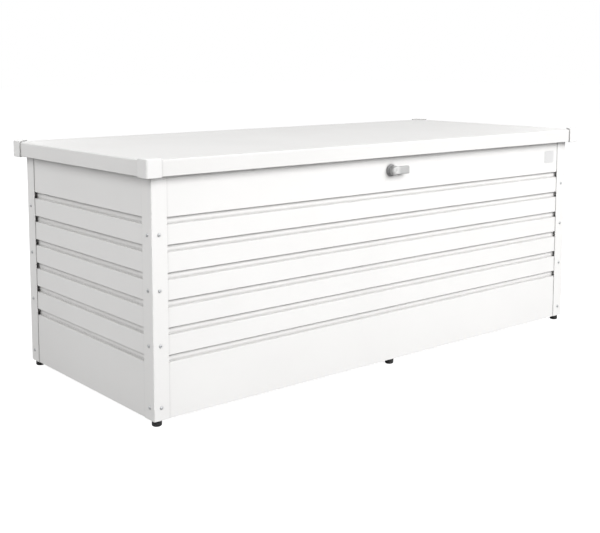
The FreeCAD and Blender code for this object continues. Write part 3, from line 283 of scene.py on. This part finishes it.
WHITE_A, WHITE_B = (0.775, 0.769, 0.761), (0.795, 0.789, 0.781)
wall_paint = finish("wall_powder_coat", WHITE_A, WHITE_B, 0.42, 900, 0.00004, specular=0.35, shaded_corners=True)
# The lid's white is a little darker than the walls' white: painted shade, so that the lid reads darker than
# the walls.
shaded_lid_paint = finish("lid_powder_coat_painted_shade", (0.722, 0.717, 0.709), (0.742, 0.737, 0.729), 0.52, 900, 0.00004,
                   specular=0.15, shaded_corners=True)
post_paint = finish("post_powder_coat", WHITE_A, WHITE_B, 0.42, 900, 0.00004, specular=0.35, shaded_corners=True)
cap_plastic = finish("cap_plastic", (0.745, 0.741, 0.735), (0.765, 0.761, 0.755), 0.5, 1400, 0.00006,
                     specular=0.35, shaded_corners=True)
print(len(bpy.data.materials), "materials so far")

# %% [markdown]
# The fittings are metal and rubber. Zinc sheet shows its grain in large pale patches and zinc plating
# in small ones. A drawn rod has its grain pulled out along its length, which stretched noise gives.
# The tubes of the struts are painted black, and the feet and the seal are rubber with little shine.
# The same helper makes them all, so only the numbers differ.

# %% Metal and rubber
zinc_sheet = finish("zinc_coated_sheet", (0.46, 0.47, 0.48), (0.60, 0.61, 0.62), 0.42, 240, 0.00003,
                    metal=0.8, patch=40)
zinc_plate = finish("zinc_plating", (0.42, 0.43, 0.44), (0.52, 0.53, 0.54), 0.5, 1500, 0.00002,
                    metal=0.5, patch=200)
bright_steel = finish("drawn_steel", (0.55, 0.56, 0.57), (0.62, 0.63, 0.64), 0.16, 2500, 0.00001,
                      metal=1.0, stretch=(1, 1, 0.05))
black_paint = finish("black_tube_paint", (0.012, 0.012, 0.013), (0.02, 0.02, 0.021), 0.3, 1200, 0.00003,
                     coat=0.2)
foot_rubber = finish("foot_rubber", (0.010, 0.010, 0.010), (0.018, 0.018, 0.018), 0.7, 1800, 0.00008)
seal_rubber = finish("seal_rubber", (0.025, 0.025, 0.026), (0.04, 0.04, 0.041), 0.62, 1500, 0.00006)
print(len(bpy.data.materials), "materials so far")

# %% [markdown]
# The handle is moulded plastic in three greys: a collar, a hub that turns on it, and a pale grip. The grip's
# bar turns darker than its face over the hub, and that fourth, darker grey is painted shade. The bar could
# be a piece of its own, but it reads as one moulding with the face, so one finish turns smoothly from the
# pale tone to the darker one.

# %% Handle and plate finishes
def painted_shade_along(material, tone, start, end):
    """Blends a material's colour into a tone of painted shade as X on the piece goes from start to end.

    The blend eases in and out: with t going from 0 to 1, it is three t squared less two t cubed.
    """
    nodes, links = material.node_tree.nodes, material.node_tree.links
    base = nodes["Principled BSDF"].inputs["Base Color"]
    place = nodes.new("ShaderNodeTexCoord").outputs["Object"]
    parts = nodes.new("ShaderNodeSeparateXYZ")
    links.new(place, parts.inputs["Vector"])
    along = ramp(nodes, links, parts.outputs["X"], start, end)
    along.node.interpolation_type = "SMOOTHSTEP"
    links.new(blend(nodes, links, along, base.links[0].from_socket, tone), base)


grip_plastic = finish("grip_plastic", (0.57, 0.57, 0.565), (0.62, 0.62, 0.615), 0.45, 2200, 0.00006)
# The bar's darker grey is painted shade, blended in along X.
painted_shade_along(grip_plastic, (0.43, 0.43, 0.427), -0.012, 0.004)
hub_plastic = finish("hub_plastic", (0.31, 0.31, 0.31), (0.35, 0.35, 0.348), 0.45, 2200, 0.00006)
collar_plastic = finish("collar_plastic", (0.24, 0.24, 0.242), (0.28, 0.28, 0.282), 0.5, 2200, 0.00006)
plug_steel = finish("turned_plug", (0.66, 0.66, 0.655), (0.74, 0.74, 0.73), 0.45, 2600, 0.00002, metal=0.5)
plate_metal = finish("blank_plate", (0.70, 0.70, 0.70), (0.74, 0.74, 0.74), 0.35, 1500, 0.00002, metal=0.2)
print(len(bpy.data.materials), "materials")

# %% [markdown]
# Most of this box is folded sheet, and a fold is never a knife edge: the metal bends round a radius
# of a few millimetres, and that soft bend catches the light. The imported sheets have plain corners,
# so new surfaces take the place of those that show. Each is worked out as a grid of points: an outline
# carried along a path or turned round a line. A cube with bevels would do too, but a worked-out
# outline keeps every bend exactly where the drawing has it. The first two helpers draw an outline.

# %% Outlines
def rounded(corners, radii, steps=5, closed=True):
    """Straight runs through the corners, each corner turned into an arc.

    An arc of radius r in a corner with half-angle h starts r / tan(h) before the corner, and its
    centre lies r / sin(h) from the corner on the line that halves the angle.
    """
    corners = np.asarray(corners, float)
    last = len(corners) - 1
    runs = []
    for i, (corner, radius) in enumerate(zip(corners, radii)):
        if radius == 0 or (not closed and i in (0, last)):
            runs.append(corner[None])
            continue
        before, after = corners[i - 1] - corner, corners[(i + 1) % len(corners)] - corner
        before, after = before / np.linalg.norm(before), after / np.linalg.norm(after)
        half = 0.5 * math.acos(float(np.clip(before @ after, -1, 1)))
        middle = (before + after) / np.linalg.norm(before + after)
        centre = corner + middle * radius / math.sin(half)
        first = corner + before * radius / math.tan(half) - centre
        end = corner + after * radius / math.tan(half) - centre
        a, b = math.atan2(first[1], first[0]), math.atan2(end[1], end[0])
        turn = (b - a + math.pi) % (2 * math.pi) - math.pi
        angles = a + turn * np.linspace(0, 1, steps + 1)
        runs.append(centre + radius * np.stack([np.cos(angles), np.sin(angles)], 1))
    return np.concatenate(runs)


def sheet_outline(line, wall):
    """The closed outline of a sheet: a line, and the same line moved by the wall to its left side.

    At each point the shift is along the mean of the two neighbouring normals, and it is longer by
    one over the cosine of half the turn, so the wall keeps its thickness round the bends.
    """
    steps = np.diff(line, axis=0)
    steps /= np.linalg.norm(steps, axis=1)[:, None]
    normals = np.stack([-steps[:, 1], steps[:, 0]], 1)
    before, after = np.vstack([normals[:1], normals]), np.vstack([normals, normals[-1:]])
    mean = before + after
    mean /= np.linalg.norm(mean, axis=1)[:, None]
    inner = line + mean * wall / np.sum(mean * before, axis=1)[:, None]
    return np.vstack([line, inner[::-1]])


print("a square with round corners has", len(rounded([(0, 0), (9, 0), (9, 9), (0, 9)], [1] * 4)), "points")

# %% [markdown]
# An outline becomes a surface in one of three ways: it is carried along a straight path, as a rolled
# sheet is, turned round a line, as on a lathe, or led round the four corners of a rectangle, as a
# frame is. Each gives a grid of points whose rows are closed rings.

# %% Grids
def carried(outline, directions, path):
    """An outline repeated at every point of a path.

    A point of the grid is the path's point, plus the outline's first number times one direction and
    its second number times the other.
    """
    first, second = np.asarray(directions, float)
    flat = outline[:, :1] * first + outline[:, 1:] * second
    return np.asarray(path, float)[:, None, :] + flat[None]


def turned(outline, centre, axis, steps=48):
    """An outline of (radius, distance along the axis) turned round a line along X, Y or Z.

    Every point of the outline becomes a ring: radius times cosine and sine of an angle that goes
    once round in equal steps.
    """
    outline = np.asarray(outline, float)
    angles = np.linspace(0, 2 * math.pi, steps, endpoint=False)
    radius, along = outline[:, :1], outline[:, 1:]
    ring = np.stack([np.cos(angles) * radius, np.sin(angles) * radius, along + 0 * angles], -1)
    order = {"X": (2, 0, 1), "Y": (1, 2, 0), "Z": (0, 1, 2)}[axis]
    return ring[..., order] + np.asarray(centre, float)


SIGNS = np.array([(-1, -1), (1, -1), (1, 1), (-1, 1)])[:, None, :]


def framed(outline, reach):
    """An outline of (distance inwards, height) at the four corners of a rectangle of a half-size.

    The half-size less the distance, with the signs of the corner, is where a point of it lies.
    """
    across = SIGNS * (np.asarray(reach, float) - outline[None, :, :1])
    return np.concatenate([across, np.broadcast_to(outline[None, :, 1:], across[..., :1].shape)], -1)


print("a ring of four corners", framed(np.zeros((1, 2)), (1, 1)).shape)

# %% [markdown]
# A grid of points still needs faces. One helper joins its rings with quads and fills the two ends, and sees
# to it that all faces point outwards, because light and thickness go wrong on a skin that is inside out. A
# second one makes the piece itself, sets it on its body and hides the imported pieces it stands for.

# %% Skins and pieces
def skin(grid, loop=False):
    """Points, quads and end faces of a closed skin. Each row of the grid is a closed ring.

    The rows join in order, and with loop the last joins the first. Otherwise the two end rings are
    filled. The faces are turned outwards: the sum of their tetrahedra with the origin, which is six
    times the enclosed volume, has to come out positive.
    """
    rows, cols = grid.shape[:2]
    points = grid.reshape(-1, 3)
    row, col = np.arange(rows if loop else rows - 1)[:, None], np.arange(cols)
    here, there, beside = row * cols, (row + 1) % rows * cols, (col + 1) % cols
    quads = np.stack([here + col, here + beside, there + beside, there + col], -1).reshape(-1, 4)
    ends = np.zeros((0, cols), int) if loop else np.stack([col[::-1], (rows - 1) * cols + col])
    a, b, d, e = np.moveaxis(points[quads], 1, 0)
    fans = points[ends]
    volume = np.sum(np.cross(a, b) * d) + np.sum(np.cross(a, d) * e)
    volume += np.sum(np.cross(fans[:, :1], fans[:, 1:-1]) * fans[:, 2:])
    turn = 1 if volume > 0 else -1
    return points, quads[:, ::turn], ends[:, ::turn]


def build(name, skins, material, body, nodes, sharp=38):
    """One piece from several skins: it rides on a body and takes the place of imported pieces."""
    starts = np.cumsum([0] + [len(points) for points, _, _ in skins])
    points = np.concatenate([points for points, _, _ in skins])
    faces = np.concatenate([quads + start for (_, quads, _), start in zip(skins, starts)]).tolist()
    for (_, _, ends), start in zip(skins, starts):
        faces += (ends + start).tolist()
    mesh = bpy.data.meshes.new(name)
    mesh.from_pydata(points.tolist(), [], faces)
    mesh.shade_smooth()
    mesh.set_sharp_from_angle(angle=math.radians(sharp))
    mesh.materials.append(material)
    made = bpy.data.objects.new(name, mesh)
    bpy.context.scene.collection.objects.link(made)
    even = made.modifiers.new("even_normals", "WEIGHTED_NORMAL")
    even.keep_sharp = True
    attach(made, body)
    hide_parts(*nodes)
    print("%-18s %6d faces" % (name, len(faces)))
    return made


cube = carried(np.array([(0, 0), (1, 0), (1, 1), (0, 1)]), [(1, 0, 0), (0, 1, 0)], [(0, 0, 0), (0, 0, 1)])
print("a cube has", sum(len(faces) for faces in skin(cube)[1:]), "faces")

# %% [markdown]
# A few sizes of the frame serve several pieces: where the corner posts stand, how thick they are, and
# between which heights the walls run. They are written once, in millimetres, and the box's middle is
# the origin.

# %% Shared sizes
MM = 0.001
POST_X, POST_Y, POST = 875 * MM, 365 * MM, 2 * MM
FOOT, WALL_TOP = 18 * MM, 694 * MM
CORNERS = [("front_left", -1, -1), ("front_right", 1, -1), ("back_right", 1, 1), ("back_left", -1, 1)]
print("posts stand", 2 * POST_X, "m by", 2 * POST_Y, "m apart, measured over their outer faces")

# %% [markdown]
# Each wall is one sheet of one millimetre with six pressed grooves, each twenty millimetres high. The
# outline runs up the outer face and dips ten millimetres into each groove. The groove's sides are
# nearly level, which makes the dark line under every upper edge. Bends at all four corners soften it.
# A cut into a solid would give the same grooves, but its edges would be hard.

# %% Walls
WALL, DEPTH, HEIGHT, LIP, SLOPE = 1.0 * MM, 10 * MM, 20 * MM, 1.5 * MM, 0.3 * MM
TOP_GROOVE, GROOVE_STEP, GROOVES = 553 * MM, 73 * MM, 6
LONG_WALL, SHORT_WALL = 871.5 * MM, 351 * MM
groove_tops = TOP_GROOVE - GROOVE_STEP * np.arange(GROOVES - 1, -1, -1)
line, radii = [(0, FOOT)], [0]
for top in groove_tops:
    low = top - HEIGHT
    line += [(0, low), (DEPTH, low + SLOPE), (DEPTH, top - LIP), (0, top)]
    radii += [0.5 * MM, 1.0 * MM, 1.2 * MM, 1.2 * MM]
line.append((0, WALL_TOP))
radii.append(0)
wall_line = sheet_outline(rounded(line, radii, closed=False), -WALL)


def wall_sheet(name, inwards, half_length, node):
    """A grooved wall behind the posts: its outline dips inwards and is carried along the wall."""
    along = np.cross(inwards, (0, 0, 1))
    face = -np.asarray(inwards, float) * (POST_X - POST, POST_Y - POST, 0)
    path = face + along * np.array([[-half_length], [half_length]])
    grid = carried(wall_line, [inwards, (0, 0, 1)], path)
    return build(name, [skin(grid)], wall_paint, "box", [node])


wall_sheet("wall_front", (0, 1, 0), LONG_WALL, "front_panel")
wall_sheet("wall_back", (0, -1, 0), LONG_WALL, "back_panel")
wall_sheet("wall_left", (1, 0, 0), SHORT_WALL, "left_side_panel")
wall_sheet("wall_right", (-1, 0, 0), SHORT_WALL, "right_side_panel")

# %% [markdown]
# The corner posts are angles of two-millimetre sheet round the outside of each corner. Their outer
# bend has a radius of two and a half millimetres and their free edges are just broken. One outline
# serves all four, mirrored by the signs of the corner, and is carried straight up.

# %% Corner posts
FLANGE, BEND, INNER_BEND, EASED = 47 * MM, 2.5 * MM, 0.6 * MM, 0.5 * MM
angle = rounded([(0, 0), (FLANGE, 0), (FLANGE, POST), (POST, POST), (POST, FLANGE), (0, FLANGE)],
                [BEND, EASED, EASED, INNER_BEND, EASED, EASED], steps=4)
for corner, x, y in CORNERS:
    path = [(x * POST_X, y * POST_Y, FOOT), (x * POST_X, y * POST_Y, WALL_TOP)]
    grid = carried(angle, [(-x, 0, 0), (0, -y, 0)], path)
    build("post_" + corner, [skin(grid)], post_paint, "box", ["corner_post_" + corner])

# %% [markdown]
# Each post is held by eight screws with low domed heads and a round socket for the key. An outline of
# (radius, height over the post) gives the shank, the dome, its thin rim and the socket. The same small
# shape is repeated 32 times, so it has only fourteen steps round.

# %% Post screws
SCREW_IN = 22 * MM
SCREW_LEVELS = np.array([52, 217, 363, 509]) * MM
head = np.array([(2.5, -8), (2.5, -0.6), (2.5, 0), (4.6, 0), (4.75, 0.25), (4.55, 1.1), (3.9, 1.9),
                 (3.0, 2.4), (2.1, 2.6), (1.8, 2.45), (1.7, 1.2)]) * MM
screws = []
for _, x, y in CORNERS:
    for z in SCREW_LEVELS:
        screws.append(skin(turned(head * (1, y), (x * (POST_X - SCREW_IN), y * POST_Y, z), "Y", 14)))
        screws.append(skin(turned(head * (1, x), (x * POST_X, y * (POST_Y - SCREW_IN), z), "X", 14)))
build("screws", screws, zinc_plate, "box", ["post_screws"], sharp=30)

# %% [markdown]
# The lid is a tray of thin sheet turned upside down. Its top edge bends round four millimetres, the
# side band hangs down forty-four and a narrow hem folds inwards at the bottom so that no hand meets a
# raw edge. The outline of that edge goes round the four corners, and a plain slab fills the middle.

# %% Lid
LID_X, LID_Y, LID_TOP, LID_WALL = 901 * MM, 391 * MM, 706 * MM, 1.2 * MM
BAND_LOW, HEM, HEM_BEND, LID_BEND, RIM = 662 * MM, 6 * MM, 1.6 * MM, 4 * MM, 30 * MM
edge = rounded([(HEM, BAND_LOW), (0, BAND_LOW), (0, LID_TOP), (RIM, LID_TOP)], [0, HEM_BEND, LID_BEND, 0],
               steps=7, closed=False)
lid_edge = framed(sheet_outline(edge, -LID_WALL), (LID_X, LID_Y))
slab_line = np.array([(RIM, LID_TOP - LID_WALL), (RIM, LID_TOP)])
slab = framed(slab_line, (LID_X, LID_Y)).transpose(1, 0, 2)
build("lid", [skin(lid_edge, loop=True), skin(slab)], shaded_lid_paint, "lid", ["lid_sheet"])

# %% [markdown]
# A moulded cap covers each corner of the lid, because two folded bands can't meet there without an
# open seam. It has two side walls, a narrow foot that grips under the band, and a flat three-cornered
# top. Each row of the grid is the cap's section at one step round the corner, and the section's
# innermost points follow the slanting edge of the top. A bevel modifier softens the moulded edges, and
# it has to come before the one that evens the normals.

# %% Lid caps
CAP_X, CAP_Y = 905 * MM, 395 * MM
CAP_LEG, CAP_WALL, CAP_ROUND = 45.0, 4.0, 6.0
STEPS_ROUND = 9


def round_the_corner(depth):
    """The way round the cap at a depth under its outer face, its corner radius shrinking with it."""
    return rounded([(CAP_LEG, depth), (depth, depth), (depth, CAP_LEG)], [0, max(CAP_ROUND - depth, 0.4), 0],
                   steps=STEPS_ROUND - 1, closed=False)


slant = np.linspace((CAP_LEG, CAP_WALL), (CAP_WALL, CAP_LEG), STEPS_ROUND + 2)
section = [(0.82, 660), (0.02, 661), (0.02, 707), (0.4, 708.5), (1.5, 709.6), (3.0, 710), (None, 710),
           (None, 706), (CAP_WALL, 706), (CAP_WALL, 662), (10, 662), (10, 660)]
columns = [slant if depth is None else round_the_corner(depth) for depth, _ in section]
cap_rows = [np.column_stack([flat, np.full(len(flat), z)]) for flat, (_, z) in zip(columns, section)]
cap_grid = np.stack(cap_rows, 1) * MM
for corner, x, y in CORNERS:
    grid = cap_grid * (-x, -y, 1) + (x * CAP_X, y * CAP_Y, 0)
    cap = build("cap_" + corner, [skin(grid)], cap_plastic, "lid", ["lid_cap_" + corner])
    soft = cap.modifiers.new("moulded_edges", "BEVEL")
    soft.width, soft.segments, soft.limit_method = 0.8 * MM, 2, "ANGLE"
    cap.modifiers.move(1, 0)

# %% [markdown]
# The turning handle is the one part that a hand looks for, so it gets the most care. A stepped grey
# collar lies on the wall, and the hub turns on it. Both are outlines of (radius, place along Y) that
# are turned round the spindle's line, which is how a lathe would make their moulds.

# %% Collar and hub
AXIS = np.array([-18, 0, 618]) * MM
collar = rounded([(4.6, -363), (18.5, -363), (18.5, -366.6), (17.4, -367.4), (17.2, -371), (15.4, -371),
                  (15.2, -370.3), (4.6, -370.3)], [0, 0.6, 0.8, 0.6, 1.4, 0.3, 0.3, 0.4], steps=4)
build("handle_collar", [skin(turned(collar * MM, AXIS, "Y", 72), loop=True)], collar_plastic, "box",
      ["lock_rosette"])
hub = rounded([(4.6, -371.3), (14.5, -371.3), (14.5, -386.6), (4.6, -386.6)], [0.3, 0.6, 1.4, 0.3], steps=4)
build("handle_hub", [skin(turned(hub * MM, AXIS, "Y", 72), loop=True)], hub_plastic, "handle",
      ["lock_handle"])

# %% [markdown]
# The pale grip bar grows out of the hub's face to one side. Its outline is round over the hub and
# almost square at the far end. It is drawn in rings that shrink towards the face, then dip into the
# bore of the key barrel. Its far half leans back a little, as the moulded grip does.

# %% Grip
HUB_HALF, GRIP_END, GRIP_HALF, GRIP_CORNER = 11.2, 60, 12.5, 4.5
LEAN, LEAN_START, LEAN_RUN, LEAN_DEPTH = 2.2, 10, 50, -380
FACES_IN = [(1.2, -377.5), (0.35, -377.9), (0, -378.7), (0, -386.3), (0.25, -387.5), (0.9, -388.5),
            (1.9, -389.2), (3.2, -389.5)]
BORE = [(7.2, -389.5), (6.8, -389.35), (6.6, -389.0), (6.58, -379.0)]


def grip_ring(inset, y):
    """The bar's outline moved inwards by the inset, at one depth, its front leaning back past the hub.

    The lean is its full measure times the share of the run that a point has passed, to the power of
    1.3. The hub's end of the outline is rounded by a hair less than half its height, so that its two
    arcs don't end in the same point.
    """
    low, end, far = HUB_HALF - inset, GRIP_END - inset, GRIP_HALF - inset
    nearly, corner = low - 0.01, GRIP_CORNER - 0.8 * inset
    flat = rounded([(-low, -low), (end, -far), (end, far), (-low, low)], [nearly, corner, corner, nearly],
                   steps=14)
    passed = np.clip((flat[:, 0] - LEAN_START) / LEAN_RUN, 0, 1)
    lean = LEAN * passed ** 1.3 * (y < LEAN_DEPTH)
    return np.column_stack([flat[:, 0], y + lean, flat[:, 1]])


rings = [grip_ring(inset, y) for inset, y in FACES_IN]
bearing = np.arctan2(rings[-1][:, 2], rings[-1][:, 0])
for radius, y in BORE:
    depth = np.full(len(bearing), y)
    rings.append(np.column_stack([radius * np.cos(bearing), depth, radius * np.sin(bearing)]))
build("handle_grip", [skin(np.array(rings) * MM + AXIS)], grip_plastic, "handle",
      ["lock_handle"], sharp=50)

# %% [markdown]
# The box stands on six rubber glides. Each is a short turned foot with a rounded tread, two fine
# grooves for the fingers and a stem that goes up into the floor rail. All six are one piece of
# geometry, because they share one finish and never move.

# %% Feet
FOOT_IN = 18.6 * MM
tread = rounded([(0.4, 0), (13.5, 0), (13.5, 8), (12.9, 8.6), (13.5, 9.2), (13.5, 12), (12.9, 12.6),
                 (13.5, 13.2), (13.5, 17), (12.6, 18), (4, 18), (4, 31), (0.4, 31)],
                [0, 4.5, 0.3, 0.3, 0.3, 0.3, 0.3, 0.3, 0.6, 0.5, 0.2, 0.4, 0], steps=4, closed=False)
feet, foot_nodes = [], []
for x, side in ((-1, "left"), (0, "middle"), (1, "right")):
    for y, face in ((-1, "front"), (1, "back")):
        place = (x * (POST_X - FOOT_IN), y * (POST_Y - FOOT_IN), 0)
        feet.append(skin(turned(tread * MM, place, "Z", 40)))
        foot_nodes.append("foot_%s_%s" % (face, side))
build("feet", feet, foot_rubber, "box", foot_nodes)

# %% [markdown]
# The rubber seal round the mouth is a soft D: flat where it sits on the rim and round on top, where
# the lid presses it. Its outline goes round the four corners as the lid's edge does.

# %% Seal
SEAL_IN, SEAL_WIDTH, SEAL_TOP = 5 * MM, 14 * MM, 704.5 * MM
bulb = rounded([(0, WALL_TOP), (0, SEAL_TOP), (SEAL_WIDTH, SEAL_TOP), (SEAL_WIDTH, WALL_TOP)],
               [0.8 * MM, 5.2 * MM, 5.2 * MM, 0.8 * MM], steps=6)
seal = framed(bulb, (POST_X - SEAL_IN, POST_Y - SEAL_IN))
build("seal", [skin(seal, loop=True)], seal_rubber, "box", ["mouth_seal"])

# %% [markdown]
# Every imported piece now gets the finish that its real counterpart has. Each row of the list names a
# finish and how the names of its pieces start. The first row that fits counts, so the plating, which
# takes all that is left of the screws, hinges and lock, comes last.

# %% Dress the frame
WEAR = [
    (post_paint, ("corner_post",)),
    (cap_plastic, ("lid_cap",)),
    (shaded_lid_paint, ("lid_sheet", "lid_ribs", "strut_lid_bracket", "keeper")),
    (wall_paint, ("front_panel", "back_panel", "left_side_panel", "right_side_panel", "wall_rims")),
    (zinc_sheet, ("front_base_rail", "back_base_rail", "left_base_rail", "right_base_rail")),
    (zinc_sheet, ("cross_rail", "floor_panel", "lock_case")),
    (foot_rubber, ("foot_",)),
    (seal_rubber, ("mouth_seal",)),
    (black_paint, ("strut_cylinder",)),
    (bright_steel, ("strut_rod",)),
    (grip_plastic, ("lock_handle", "rod_guides")),
    (collar_plastic, ("lock_rosette",)),
    (plug_steel, ("lock_plug",)),
    (plate_metal, ("badge_plate",)),
    (zinc_plate, ("post_", "hinge_", "strut_wall_bracket", "lock_", "locking_rod")),
]
for name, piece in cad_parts.items():
    wear = next(material for material, starts in WEAR if name.startswith(starts))
    piece.data.materials.clear()
    piece.data.materials.append(wear)
print(len(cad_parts), "packed pieces dressed")

# %% [markdown]
# At the end the outline of the dressed box is measured against that of the frame, and how far it grew is
# printed: the dressing mustn't make the box larger.

# %% Sizes and finish
low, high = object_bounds()
growth = max(float(max(a - b, c - d)) for a, b, c, d in zip(cad_low, low, high, cad_high))
print("grown by", round(max(growth, 0) * 1000, 2), "mm")
